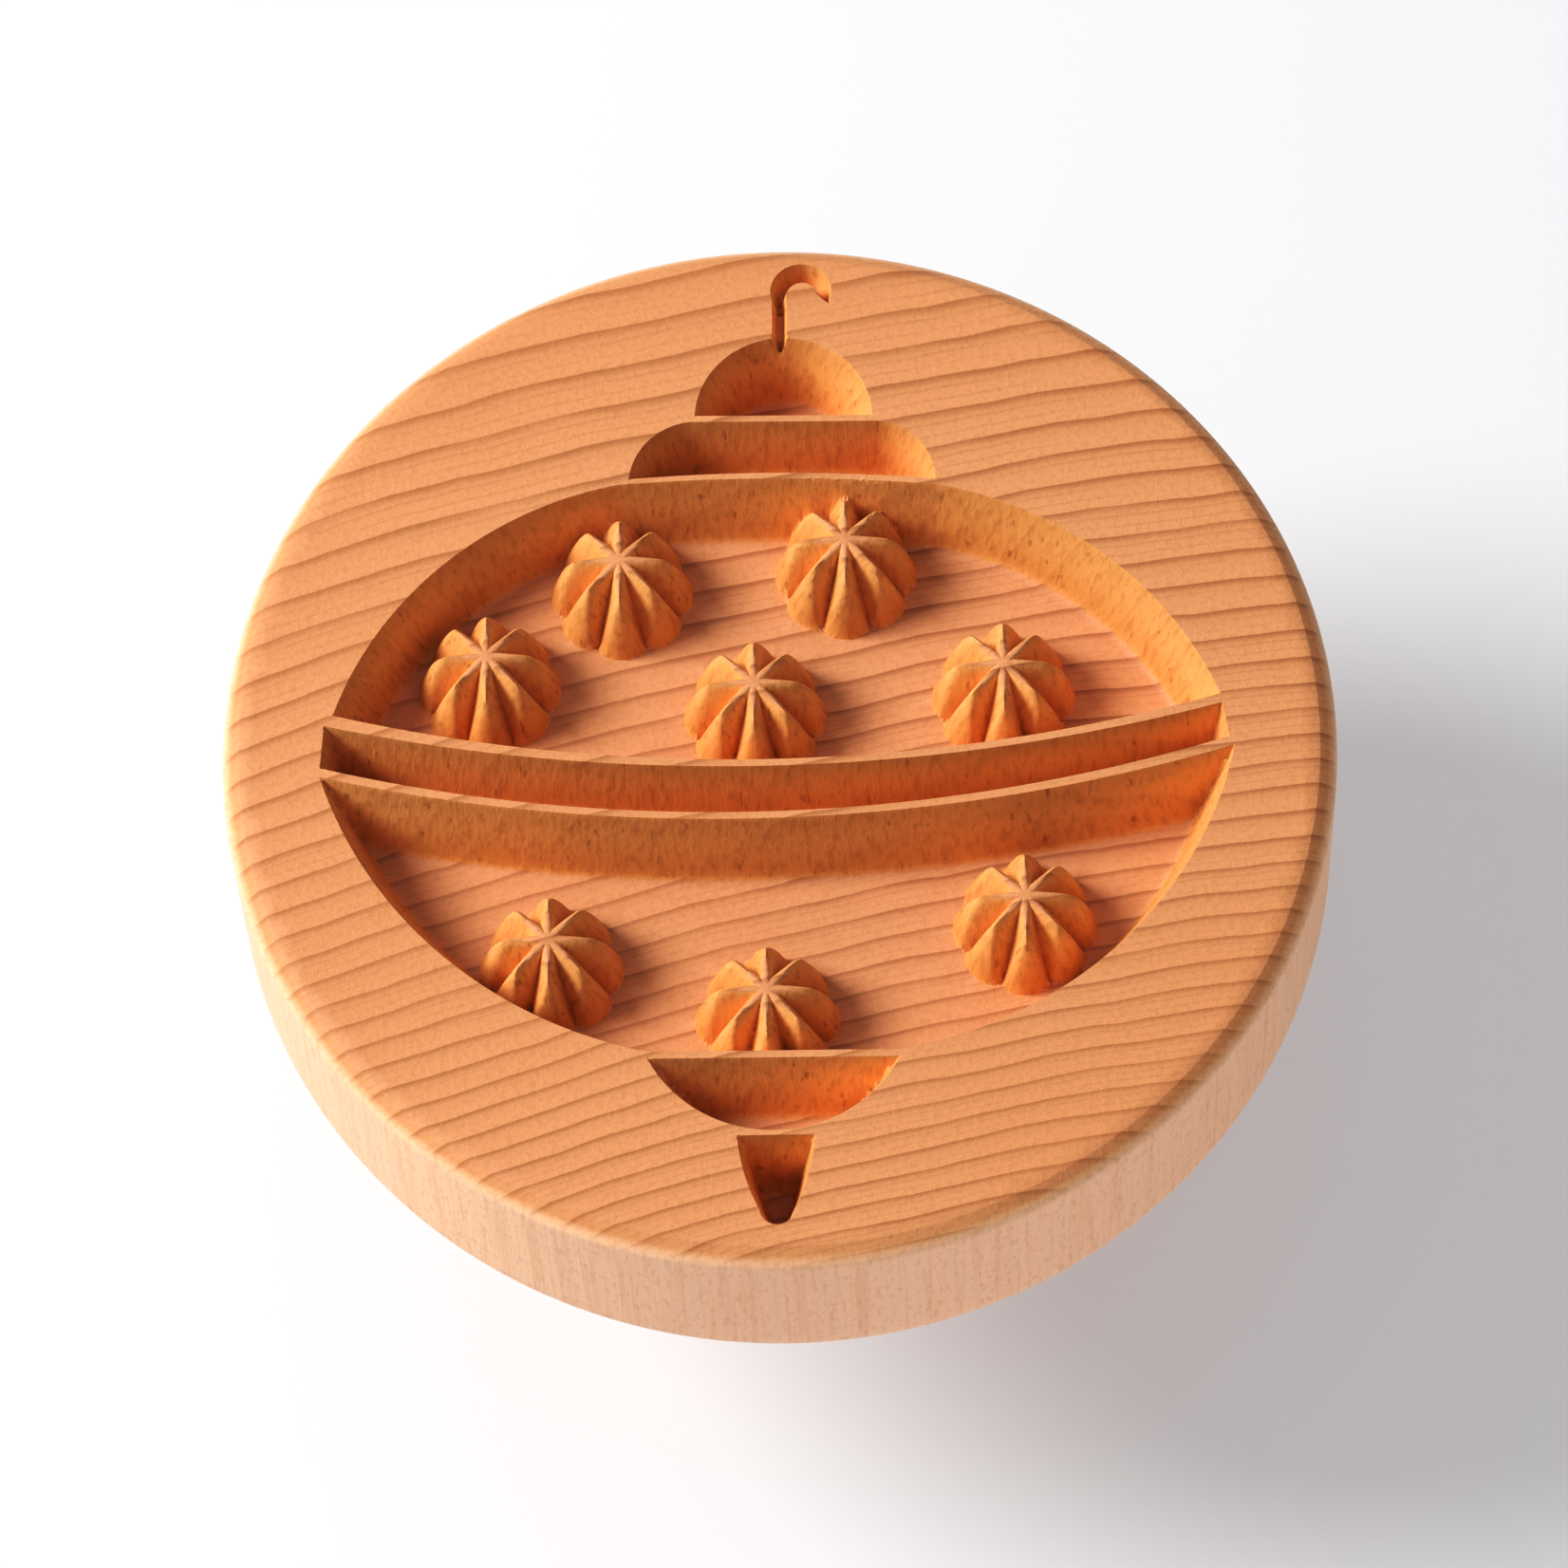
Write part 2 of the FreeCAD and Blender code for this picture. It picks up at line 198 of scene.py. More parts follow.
def outline_points(outline, spacing):
    """The outline in millimetres as one closed ring of points."""
    scale = PLATE_RADIUS / MM
    runs = []
    for index, (corner, via) in enumerate(outline):
        following = outline[(index + 1) % len(outline)][0]
        through = None if via is None else np.array(via) * scale
        runs.append(arc_points(np.array(corner) * scale, through, np.array(following) * scale, spacing))
    return np.vstack(runs)


def inward_distance(points, ring):
    """Signed distance from each point to a closed ring: positive inside."""
    following = np.roll(ring, -1, axis=0)
    side = following - ring
    length_squared = (side ** 2).sum(1)
    distance = np.empty(len(points))
    inside = np.zeros(len(points), bool)
    for first in range(0, len(points), 2000):
        part = points[first:first + 2000]
        offset = part[:, None, :] - ring[None, :, :]
        along = np.clip((offset * side).sum(2) / length_squared, 0, 1)
        nearest = offset - along[..., None] * side
        distance[first:first + 2000] = np.sqrt((nearest ** 2).sum(2).min(1))
        above = ring[None, :, 1] > part[:, None, 1]
        above_next = following[None, :, 1] > part[:, None, 1]
        rise = np.where(side[:, 1] == 0, 1e-12, side[:, 1])
        crossing = ring[:, 0] + (part[:, None, 1] - ring[:, 1]) * side[:, 0] / rise
        hits = (above != above_next) & (part[:, None, 0] < crossing)
        inside[first:first + 2000] = hits.sum(1) % 2 == 1
    return np.where(inside, distance, -distance)


def soft_min(first, second, blend):
    """The lower of two heights, with a rounded meeting line."""
    mix = np.clip(0.5 + 0.5 * (second - first) / blend, 0, 1)
    return second * (1 - mix) + first * mix - blend * mix * (1 - mix)


def soft_max(first, second, blend):
    return -soft_min(-first, -second, blend)


# ---------------------------------------------------------------- the carved face
RINGS = [outline_points(outline, 0.20) for outline, _, _ in CARVING]


def dome_height(across, along):
    """Height of a star dome over the pocket floor, at places given from its middle.

    Eight rounded lobes, parted by valleys that fall from the hub to the foot."""
    reach = np.hypot(across, along)
    pitch = 2 * math.pi / DOME_RIBS
    from_valley = np.abs((np.arctan2(along, across) / pitch) % 1 - 0.5) * pitch
    off_crest = 1 - 2 * from_valley / pitch
    outward = reach / (1 - LOBE_ROUND * off_crest ** 2)
    falling = np.clip((outward - DOME_SHOULDER) / (DOME_RADIUS - DOME_SHOULDER), 0, 1) ** FLANK_POWER
    crest = soft_min(DOME_HEIGHT - CREST_FALL * reach, DOME_HEIGHT * (1 - falling), CREST_ROUND)
    root = DOME_HEIGHT * (1 - (reach - DOME_HUB) / (VALLEY_RADIUS - DOME_HUB))
    wall = root + VALLEY_WALL * reach * np.sin(from_valley)
    height = soft_min(crest, np.minimum(wall, DOME_HEIGHT + 2), VALLEY_ROUND)
    return np.where(reach < DOME_RADIUS, height, BELOW_ANY_FLOOR)


def carved_depth(points):
    """How deep the carving is at each point."""
    depth = np.zeros(len(points))
    for ring, (_, floor, slope) in zip(RINGS, CARVING):
        near = ((points > ring.min(0) - 1) & (points < ring.max(0) + 1)).all(1)
        wall = slope * inward_distance(points[near], ring)
        cut = soft_max(soft_min(wall, floor, FLOOR_ROUND), 0.0, MOUTH_ROUND)
        depth[near] = np.maximum(depth[near], cut)
    return depth


def face_height(points):
    """Height of the carved face over the row's origin, in metres."""
    depth = carved_depth(points)
    scale = PLATE_RADIUS / MM
    for across, along in DOME_MIDDLES:
        dome = dome_height(points[:, 0] - across * scale, points[:, 1] - along * scale)
        standing = np.maximum(POCKET_DEPTH - dome, LEAST_COVER)
        depth = np.where(depth > CARVED_FROM, np.minimum(depth, standing), depth)
    return FACE_HEIGHT - depth * MM


def rows_along(ring, offsets):
    """Rows of points beside a ring at each inward offset, where they really are that far."""
    ahead = np.roll(ring, -1, axis=0) - np.roll(ring, 1, axis=0)
    ahead /= np.linalg.norm(ahead, axis=1)[:, None]
    inwards = np.column_stack([-ahead[:, 1], ahead[:, 0]])
    if inward_distance(ring + inwards * 0.02, ring).mean() < 0:
        inwards = -inwards
    rows = []
    for offset in offsets:
        row = ring + inwards * offset
        true = inward_distance(row, ring)
        rows.append(row[np.abs(true - offset) < 0.02])
    return np.vstack(rows)


def dome_points(middle):
    """Rings of points over one star dome, finer where it is steep."""
    scale = PLATE_RADIUS / MM
    points = [np.zeros((1, 2))]
    for reach in DOME_REACHES:
        count = DOME_RIBS * (4 if reach < 1 else 8 if reach < 2 else 12)
        angles = np.arange(count) * 2 * math.pi / count
        points.append(reach * np.column_stack([np.cos(angles), np.sin(angles)]))
    return np.vstack(points) + np.array(middle) * scale


def spread(points, spacing):
    """The points, thinned so that no two share a cell of that size."""
    cells = np.round(points / spacing).astype(np.int64)
    _, keep = np.unique(cells, axis=0, return_index=True)
    return points[np.sort(keep)]


def face_points(edge_radius):
    """Points of the carved face, in millimetres: its edge circle, its detail and a plain grid."""
    angles = np.arange(EDGE_COUNT) * 2 * math.pi / EDGE_COUNT
    edge = edge_radius * np.column_stack([np.cos(angles), np.sin(angles)])
    rows = []
    for outline, _, _ in CARVING:
        ring = outline_points(outline, 0.30)
        rows.append(rows_along(ring, ROW_OFFSETS))
    domes = [dome_points(middle) for middle in DOME_MIDDLES]
    grid = np.arange(-edge_radius, edge_radius, GRID_SPACING)
    across, along = np.meshgrid(grid, grid)
    fill = np.column_stack([across.ravel(), along.ravel()])
    fill = fill[np.hypot(fill[:, 0], fill[:, 1]) < edge_radius - 0.6]
    detail = spread(np.vstack(domes + rows), 0.03)
    detail = detail[np.hypot(detail[:, 0], detail[:, 1]) < edge_radius - 0.3]
    return edge, detail, fill


def far_from(points, others, gap):
    """The points that have none of the others in their own or a neighbouring cell."""
    taken = set()
    for cell in np.floor(others / gap).astype(int):
        taken.add((cell[0], cell[1]))
    keep = []
    for index, cell in enumerate(np.floor(points / gap).astype(int)):
        near = any((cell[0] + i, cell[1] + j) in taken for i in (-1, 0, 1) for j in (-1, 0, 1))
        if not near:
            keep.append(index)
    return points[keep]


def make_object(name, vertices, faces, body):
    mesh = bpy.data.meshes.new(name)
    mesh.from_pydata([tuple(v) for v in vertices], [], [tuple(f) for f in faces])
    mesh.validate()
    piece = bpy.data.objects.new(name, mesh)
    bpy.context.scene.collection.objects.link(piece)
    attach(piece, body)
    return piece


def turned_rows(profile, count):
    """Vertices and faces of a profile (radius, height) turned round the Z axis."""
    angles = np.arange(count) * 2 * math.pi / count
    vertices = []
    for radius, height in profile:
        ring = np.column_stack([radius * np.cos(angles), radius * np.sin(angles), np.full(count, height)])
        vertices.append(ring)
    faces = []
    for row in range(len(profile) - 1):
        for step in range(count):
            following = (step + 1) % count
            low, high = row * count, (row + 1) * count
            faces.append((low + step, low + following, high + following, high + step))
    return np.vstack(vertices), faces


def rounded(start, via, finish, spacing):
    """An arc of a profile from start to finish, both included."""
    return list(map(tuple, arc_points(start, via, finish, spacing))) + [finish]


def make_plate():
    """The carved plate: a heightfield face, a rounded rim, a side and a back."""
    edge_radius = (PLATE_RADIUS - RIM_CHAMFER) / MM
    edge, detail, fill = face_points(edge_radius)
    fill = far_from(fill, detail, FILL_GAP)
    points = np.vstack([edge, detail, fill])
    count = len(edge)
    loop = [(i, (i + 1) % count) for i in range(count)]
    flat, _, faces, origins, _, _ = delaunay_2d_cdt([Vector(p) for p in points], loop, [], 1, 1e-6, True)
    flat = np.array([(v.x, v.y) for v in flat])
    heights = face_height(flat)
    top = np.column_stack([flat * MM, heights])
    edge_index = [None] * count
    for new, sources in enumerate(origins):
        for source in sources:
            if source < count:
                edge_index[source] = new

    # The rim, side and back, from the face's edge down to the middle of the back.
    chamfer = RIM_CHAMFER
    rim = [(PLATE_RADIUS - chamfer * 0.92, FACE_HEIGHT - chamfer * 0.05),
           (PLATE_RADIUS - chamfer * 0.32, FACE_HEIGHT - chamfer * 0.56),
           (PLATE_RADIUS - chamfer * 0.10, FACE_HEIGHT - chamfer * 0.80),
           (PLATE_RADIUS, FACE_HEIGHT - chamfer * 1.10)]
    side = [(PLATE_RADIUS, height) for height in np.linspace(
        FACE_HEIGHT - chamfer * 1.4, BACK_HEIGHT + BACK_CHAMFER * 1.3, 12)]
    back = [(PLATE_RADIUS - BACK_CHAMFER * 0.12, BACK_HEIGHT + BACK_CHAMFER * 0.7),
            (PLATE_RADIUS - BACK_CHAMFER * 0.5, BACK_HEIGHT + BACK_CHAMFER * 0.22),
            (PLATE_RADIUS - BACK_CHAMFER, BACK_HEIGHT),
            (PLATE_RADIUS * 0.8, BACK_HEIGHT),
            (PLATE_RADIUS * 0.5, BACK_HEIGHT),
            (FLANGE_RADIUS + 0.2 * MM, BACK_HEIGHT),
            (FLANGE_RADIUS, BACK_HEIGHT + 0.1 * MM),
            (FLANGE_RADIUS, BACK_HEIGHT + FLANGE_DEPTH)]
    profile = rim + side + back
    lower, lower_faces = turned_rows(profile, count)
    shift = len(top)
    faces = [tuple(f) for f in faces]
    for step in range(count):
        following = (step + 1) % count
        faces.append((edge_index[following], edge_index[step], shift + step, shift + following))
    for a, b, c, d in lower_faces:
        faces.append((shift + d, shift + c, shift + b, shift + a))
    # Close the recess behind the insert's flange with a disc, so that the solid is whole.
    last = shift + (len(profile) - 1) * count
    faces.append(tuple(last + step for step in range(count)))
    vertices = np.vstack([top, lower])
    piece = make_object("carved_plate", vertices, faces, "plate_body")
    fix_normals(piece)
    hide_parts("mold_plate")
    shade_smooth(piece, 38)
    return piece


def fix_normals(piece):
    work = bmesh.new()
    work.from_mesh(piece.data)
    bmesh.ops.recalc_face_normals(work, faces=work.faces)
    work.to_mesh(piece.data)
    work.free()


def shade_smooth(piece, sharp_degrees):
    """Smooth shading that keeps edges sharper than the angle."""
    mesh = piece.data
    mesh.shade_smooth()
    mesh.set_sharp_from_angle(angle=math.radians(sharp_degrees))


# ---------------------------------------------------------------- handle and stud
def make_handle():
    """Turned handle: a bulb, a waist and a collar, with rounded edges and a bore for the stud."""
    top = HANDLE_TOP
    points = [(0.0, 0.0), (12.3 * MM, 0.0), (12.8 * MM, 0.25 * MM)]
    points += rounded((13.2 * MM, 0.7 * MM), (17.0 * MM, 8.5 * MM), (12.4 * MM, 17.4 * MM), 0.5 * MM)
    points += rounded((12.3 * MM, 17.6 * MM), (8.6 * MM, 25.6 * MM), (10.4 * MM, 33.0 * MM), 0.5 * MM)
    points += rounded((10.7 * MM, 33.2 * MM), (12.3 * MM, 33.6 * MM), (12.6 * MM, 34.4 * MM), 0.3 * MM)
    points += [(12.6 * MM, top - 0.9 * MM), (12.5 * MM, top - 0.4 * MM), (12.1 * MM, top - 0.08 * MM)]
    points += [(11.7 * MM, top), (6.0 * MM, top), (HANDLE_BORE, top)]
    points += [(HANDLE_BORE, top - HANDLE_BORE_DEPTH), (0.0, top - HANDLE_BORE_DEPTH)]
    profile = [(max(radius, 1e-6), height) for radius, height in points]
    vertices, faces = turned_rows(profile, 160)
    piece = make_object("turned_handle", vertices, faces, "handle_body")
    weld = bmesh.new()
    weld.from_mesh(piece.data)
    bmesh.ops.remove_doubles(weld, verts=weld.verts, dist=5e-6)
    bmesh.ops.recalc_face_normals(weld, faces=weld.faces)
    weld.to_mesh(piece.data)
    weld.free()
    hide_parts("handle")
    shade_smooth(piece, 40)
    return piece


def make_stud():
    """The hanger bolt's machine-thread end, with a real helical thread."""
    pitch, minor = THREAD_PITCH, THREAD_ROOT
    around, per_turn = 64, 12
    bottom, top = HANDLE_TOP - STUD_FOOT_DEPTH, STUD_TOP
    rows = int((top - bottom) / (pitch / per_turn))
    vertices, faces = [], []
    for row in range(rows + 1):
        height = bottom + (top - bottom) * row / rows
        ending = min(1.0, (top - height) / (1.0 * MM) * 0.35 + 0.65)
        for step in range(around):
            angle = 2 * math.pi * step / around
            phase = (height / pitch - step / around) % 1
            ridge = max(0.0, min(1.0, 1.35 - 2.7 * abs(phase - 0.5)))
            radius = (minor + (STUD_RADIUS - minor) * ridge) * ending
            vertices.append((radius * math.cos(angle), radius * math.sin(angle), height))
    for row in range(rows):
        for step in range(around):
            following = (step + 1) % around
            low, high = row * around, (row + 1) * around
            faces.append((low + step, low + following, high + following, high + step))
    faces.append(tuple(reversed(range(around))))
    faces.append(tuple(rows * around + step for step in range(around)))
    piece = make_object("threaded_stud", vertices, faces, "handle_body")
    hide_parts("hanger_bolt")
    shade_smooth(piece, 50)
    return piece


# ---------------------------------------------------------------- materials
def new_material(name):
    material = bpy.data.materials.new(name)
    material.use_nodes = True
    tree = material.node_tree
    shader = tree.nodes["Principled BSDF"]
    return material, tree, shader


class Nodes:
    """Short ways to add nodes to one material."""

    def __init__(self, tree):
        self.tree = tree
        coordinates = tree.nodes.new("ShaderNodeTexCoord")
        self.place = coordinates.outputs["Object"]
        self.normal = coordinates.outputs["Normal"]

    def link(self, source, socket):
        if isinstance(source, (int, float)):
            socket.default_value = source
        else:
            self.tree.links.new(source, socket)

    def math(self, operation, first, second=0.0, third=0.0, clamp=False):
        node = self.tree.nodes.new("ShaderNodeMath")
        node.operation = operation
        node.use_clamp = clamp
        for socket, source in zip(node.inputs, (first, second, third)):
            self.link(source, socket)
        return node.outputs[0]

    def scaled(self, scale, offset=(0, 0, 0)):
        node = self.tree.nodes.new("ShaderNodeMapping")
        node.inputs["Scale"].default_value = scale
        node.inputs["Location"].default_value = offset
        self.tree.links.new(self.place, node.inputs["Vector"])
        return node.outputs[0]

    def noise(self, scale, detail=3.0, roughness=0.55, offset=(0, 0, 0), distortion=0.0):
        """Noise with features of 1 / scale metres along each axis."""
        node = self.tree.nodes.new("ShaderNodeTexNoise")
        node.inputs["Scale"].default_value = 1.0
        node.inputs["Detail"].default_value = detail
        node.inputs["Roughness"].default_value = roughness
        node.inputs["Distortion"].default_value = distortion
        self.tree.links.new(self.scaled(scale, offset), node.inputs["Vector"])
        return node.outputs["Fac"]

    def split(self):
        node = self.tree.nodes.new("ShaderNodeSeparateXYZ")
        self.tree.links.new(self.place, node.inputs[0])
        return node.outputs

    def length(self, first, second):
        """Length of a vector from its two parts."""
        first_square = self.math("MULTIPLY", first, first)
        second_square = self.math("MULTIPLY", second, second)
        return self.math("SQRT", self.math("ADD", first_square, second_square))

    def facing_up(self):
        """How level the surface is: 1 on a level face, 0 on an upright wall."""
        node = self.tree.nodes.new("ShaderNodeSeparateXYZ")
        self.tree.links.new(self.normal, node.inputs[0])
        return self.math("ABSOLUTE", node.outputs[2])

    def band(self, value, low, high, smooth=True):
        """0 at low, 1 at high, and level beyond them."""
        node = self.tree.nodes.new("ShaderNodeMapRange")
        node.interpolation_type = "SMOOTHSTEP" if smooth else "LINEAR"
        self.link(value, node.inputs["Value"])
        node.inputs["From Min"].default_value = low
        node.inputs["From Max"].default_value = high
        return node.outputs["Result"]

    def mix(self, amount, first, second, kind="MIX"):
        node = self.tree.nodes.new("ShaderNodeMix")
        node.data_type = "RGBA"
        node.blend_type = kind
        self.link(amount, node.inputs["Factor"])
        for socket, source in ((node.inputs["A"], first), (node.inputs["B"], second)):
            if isinstance(source, tuple):
                socket.default_value = (*source, 1)
            else:
                self.tree.links.new(source, socket)
        return node.outputs["Result"]

    def bump(self, height, distance, strength=1.0, normal=None):
        node = self.tree.nodes.new("ShaderNodeBump")
        node.inputs["Strength"].default_value = strength
        node.inputs["Distance"].default_value = distance
        self.link(height, node.inputs["Height"])
        if normal is not None:
            self.tree.links.new(normal, node.inputs["Normal"])
        return node.outputs["Normal"]


def wood(name, pith, ring_gap, tones, turned_side=None, floor_height=None):
    """Oiled beech with its grain along Z: growth rings round a far pith, pores and rays.

    On a level face the rings show as long thin lines, and upright walls show short dark
    rays and streaks. turned_side is the radius from which the wood is bare and paler, a
    paling carried onto the rim chamfer as painted light, and floor_height the height of the
    carved floors, which get painted shade: they are a little darker and cooler, and the
    walls darken towards their feet."""
    pale, dark, fleck = tones
    material, tree, shader = new_material(name)
    nodes = Nodes(tree)
    across, along, up = nodes.split()
    slope = nodes.facing_up()
    upright = nodes.math("SUBTRACT", 1.0, nodes.band(slope, 0.45, 0.85))
    # growth rings, bent a little by slow noise
    sway = nodes.noise((35, 35, 8), detail=2.0)
    flutter = nodes.noise((160, 160, 20), detail=2.0, offset=(3, 1, 2))
    dx = nodes.math("SUBTRACT", across, pith[0])
    dy = nodes.math("SUBTRACT", along, pith[1])
    reach = nodes.length(dx, dy)
    reach = nodes.math("MULTIPLY_ADD", nodes.math("SUBTRACT", sway, 0.5), 0.0022, reach)
    reach = nodes.math("MULTIPLY_ADD", nodes.math("SUBTRACT", flutter, 0.5), 0.0005, reach)
    # rings crowd together on the side of the pith
    reach = nodes.math("SUBTRACT", reach, math.hypot(*pith))
    squeeze = nodes.math("MULTIPLY", nodes.math("MULTIPLY", reach, reach), -4.8 / ring_gap)
    count = nodes.math("ADD", nodes.math("DIVIDE", reach, ring_gap), squeeze)
    ring = nodes.math("FRACT", count)
    shade = nodes.band(ring, 0.30, 0.95, smooth=False)
    line = nodes.band(ring, 0.70, 0.94)
    ending = nodes.math("SUBTRACT", 1.0, nodes.band(ring, 0.95, 1.0))
    late = nodes.math("MULTIPLY_ADD", line, 0.65, nodes.math("MULTIPLY", shade, 0.35))
    late = nodes.math("MULTIPLY", late, ending)
    between = nodes.band(nodes.math("FRACT", nodes.math("MULTIPLY", count, 3.0)), 0.70, 0.95)
    # each ring is a little darker or fainter than the next
    unlike = nodes.noise((60, 260, 10), detail=2.0, offset=(5, 5, 5))
    late = nodes.math("MULTIPLY", late, nodes.band(unlike, 0.05, 0.50, smooth=False))
    faint = nodes.math("MULTIPLY", between, nodes.band(unlike, 0.62, 0.40))
    late = nodes.math("MULTIPLY_ADD", faint, 0.32, late)
    seen = nodes.math("MULTIPLY_ADD", upright, -0.80, 1.0)
    late = nodes.math("MULTIPLY", late, seen)
    colour = nodes.mix(nodes.math("MULTIPLY", late, 0.95, clamp=True), pale, dark)
    # broad warm and cool areas
    cloud = nodes.noise((28, 40, 12), detail=3.0, offset=(9, 2, 4))
    colour = nodes.mix(nodes.math("MULTIPLY", nodes.band(cloud, 0.35, 0.75), 0.30), colour,
                       tuple(c * f for c, f in zip(pale, (0.90, 0.82, 0.74))))
    # fine fibres everywhere, streaks on the walls
    pores = nodes.noise((5200, 5200, 400), detail=2.0, offset=(1, 7, 3))
    fibres = nodes.noise((1900, 2300, 55), detail=2.0, roughness=0.6, offset=(2, 2, 8))
    strength = nodes.math("MULTIPLY_ADD", upright, 0.22, 0.20)
    streaks = nodes.math("MULTIPLY", nodes.band(fibres, 0.45, 0.70), strength)
    colour = nodes.mix(streaks, colour, dark)
    # painted light: the carved walls are painted a lighter, warmer tone, standing in for the light and
    # warm bounce they catch
    colour = nodes.mix(upright, colour, nodes.mix(1.0, colour, (1.20, 1.32, 1.06), "MULTIPLY"))
    if floor_height is not None:
        # painted shade: walls darken towards their feet, where the shade in the pockets deepens
        foot = nodes.band(up, floor_height + 4.6 * MM, floor_height + 0.5 * MM)
        painted_foot_shade = nodes.math("MULTIPLY", upright, foot)
        painted_foot_shade_colour = nodes.mix(1.0, colour, (0.80, 0.66, 0.52), "MULTIPLY")
        colour = nodes.mix(nodes.math("MULTIPLY", painted_foot_shade, 0.6), colour, painted_foot_shade_colour)
        # painted shade: the level carved floors are painted a little darker and cooler
        on_floor = nodes.math("LESS_THAN", up, floor_height + 0.6 * MM)
        low = nodes.math("MULTIPLY", on_floor, nodes.band(slope, 0.75, 0.97))
        colour = nodes.mix(low, colour, nodes.mix(1.0, colour, (0.92, 0.95, 1.02), "MULTIPLY"))
    # rays: short dark dashes along the grain on the walls
    rays = nodes.noise((2000, 2000, 330), detail=1.0, roughness=0.4, offset=(4, 9, 6))
    dashes = nodes.math("MULTIPLY", nodes.band(rays, 0.66, 0.78), nodes.math("MULTIPLY", upright, 0.40))
    colour = nodes.mix(dashes, colour, fleck)
    if turned_side is not None:
        from_axis = nodes.length(across, along)
        flakes = nodes.noise((2600, 2600, 900), detail=2.0, offset=(6, 1, 5))
        bare = nodes.mix(streaks, (0.98, 0.60, 0.39), (0.84, 0.43, 0.25))
        flecks = nodes.math("MULTIPLY", nodes.band(flakes, 0.52, 0.68), 0.34)
        bare = nodes.mix(flecks, bare, (0.72, 0.34, 0.18))
        bare = nodes.mix(nodes.math("MULTIPLY", late, 0.25), bare, dark)
        # the turned side is bare, paler wood; the paling runs up onto the rim chamfer as painted light,
        # standing in for the bright band the lit rim shows
        bare_side_with_painted_rim_light = nodes.band(from_axis, turned_side - 0.70 * MM, turned_side - 0.05 * MM, smooth=False)
        colour = nodes.mix(bare_side_with_painted_rim_light, colour, bare)
    tree.links.new(colour, shader.inputs["Base Color"])
    rough = nodes.math("MULTIPLY_ADD", pores, 0.18, nodes.math("MULTIPLY_ADD", late, -0.06, 0.50))
    tree.links.new(rough, shader.inputs["Roughness"])
    shader.inputs["Specular IOR Level"].default_value = 0.30
    coarse = nodes.bump(fibres, 0.00010, 0.5)
    fine = nodes.bump(pores, 0.00003, 0.5, coarse)
    tree.links.new(fine, shader.inputs["Normal"])
    return material


def metal(name, colour, rough, grain):
    """Machined or plated metal with fine turning marks and slight tarnish."""
    material, tree, shader = new_material(name)
    nodes = Nodes(tree)
    marks = nodes.noise(grain, detail=3.0)
    stains = nodes.noise((300, 300, 300), detail=3.0, offset=(2, 4, 6))
    darker = tuple(c * 0.72 for c in colour)
    tone = nodes.mix(nodes.math("MULTIPLY", nodes.band(stains, 0.4, 0.7), 0.5), colour, darker)
    tree.links.new(tone, shader.inputs["Base Color"])
    shader.inputs["Metallic"].default_value = 1.0
    tree.links.new(nodes.math("MULTIPLY_ADD", marks, 0.22, rough), shader.inputs["Roughness"])
    tree.links.new(nodes.bump(marks, 0.00003, 0.6), shader.inputs["Normal"])
    return material


def paint(piece, material):
    piece.data.materials.clear()
    piece.data.materials.append(material)


def dress_cad_node(name, material):
    """A CAD piece that stays: its own material and softly broken edges."""
    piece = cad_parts[name]
    paint(piece, material)
    bevel = piece.modifiers.new("soft_edges", "BEVEL")
    bevel.width = 0.12 * MM
    bevel.segments = 2
    bevel.limit_method = "ANGLE"
    bevel.angle_limit = math.radians(40)
    return piece


# ---------------------------------------------------------------- stage, camera, lights
FLOOR_REACH = 1.5
FLOOR_DROP = 0.2 * MM

CAMERA_AZIMUTH = math.radians(2.8)
CAMERA_ELEVATION = math.radians(65.99)
CAMERA_TIP = math.radians(-3.51)
CAMERA_LENS = 196.1

KEY_DIRECTION = (-0.72, 0.11, 0.68)
KEY_DISTANCE = 0.9
KEY_SIZE = 0.40
KEY_POWER = 10.7
CARD_DIRECTION = (0.50, -0.86, 0.0)
CARD_DISTANCE = 0.5
CARD_HEIGHT = 0.028
CARD_WIDTH = 0.40
CARD_DEPTH = 0.05
CARD_POWER = 0.42
SKY_FROM, SKY_TO = 0.15, 0.95
SKY_LOW, SKY_HIGH = 0.06, 0.54
TONE_POINTS = ((0.10, 0.050), (0.34, 0.285), (0.75, 0.75))


def make_floor():
    mesh = bpy.data.meshes.new("floor")
    reach = FLOOR_REACH
    corners = [(-reach, -reach, 0), (reach, -reach, 0), (reach, reach, 0), (-reach, reach, 0)]
    mesh.from_pydata(corners, [], [(0, 1, 2, 3)])
    floor = bpy.data.objects.new("floor", mesh)
    bpy.context.scene.collection.objects.link(floor)
    floor.location.z = -FLOOR_DROP
    material, _, shader = new_material("table_white")
    shader.inputs["Base Color"].default_value = (0.555, 0.565, 0.57, 1)
    # painted light: the floor glows a little, lifting its cast shadow and lighting the plate's side from
    # below
    shader.inputs["Emission Color"].default_value = (0.97, 0.96, 1.0, 1)
    shader.inputs["Emission Strength"].default_value = 0.31
    shader.inputs["Roughness"].default_value = 0.75
    shader.inputs["Specular IOR Level"].default_value = 0.1
    paint(floor, material)


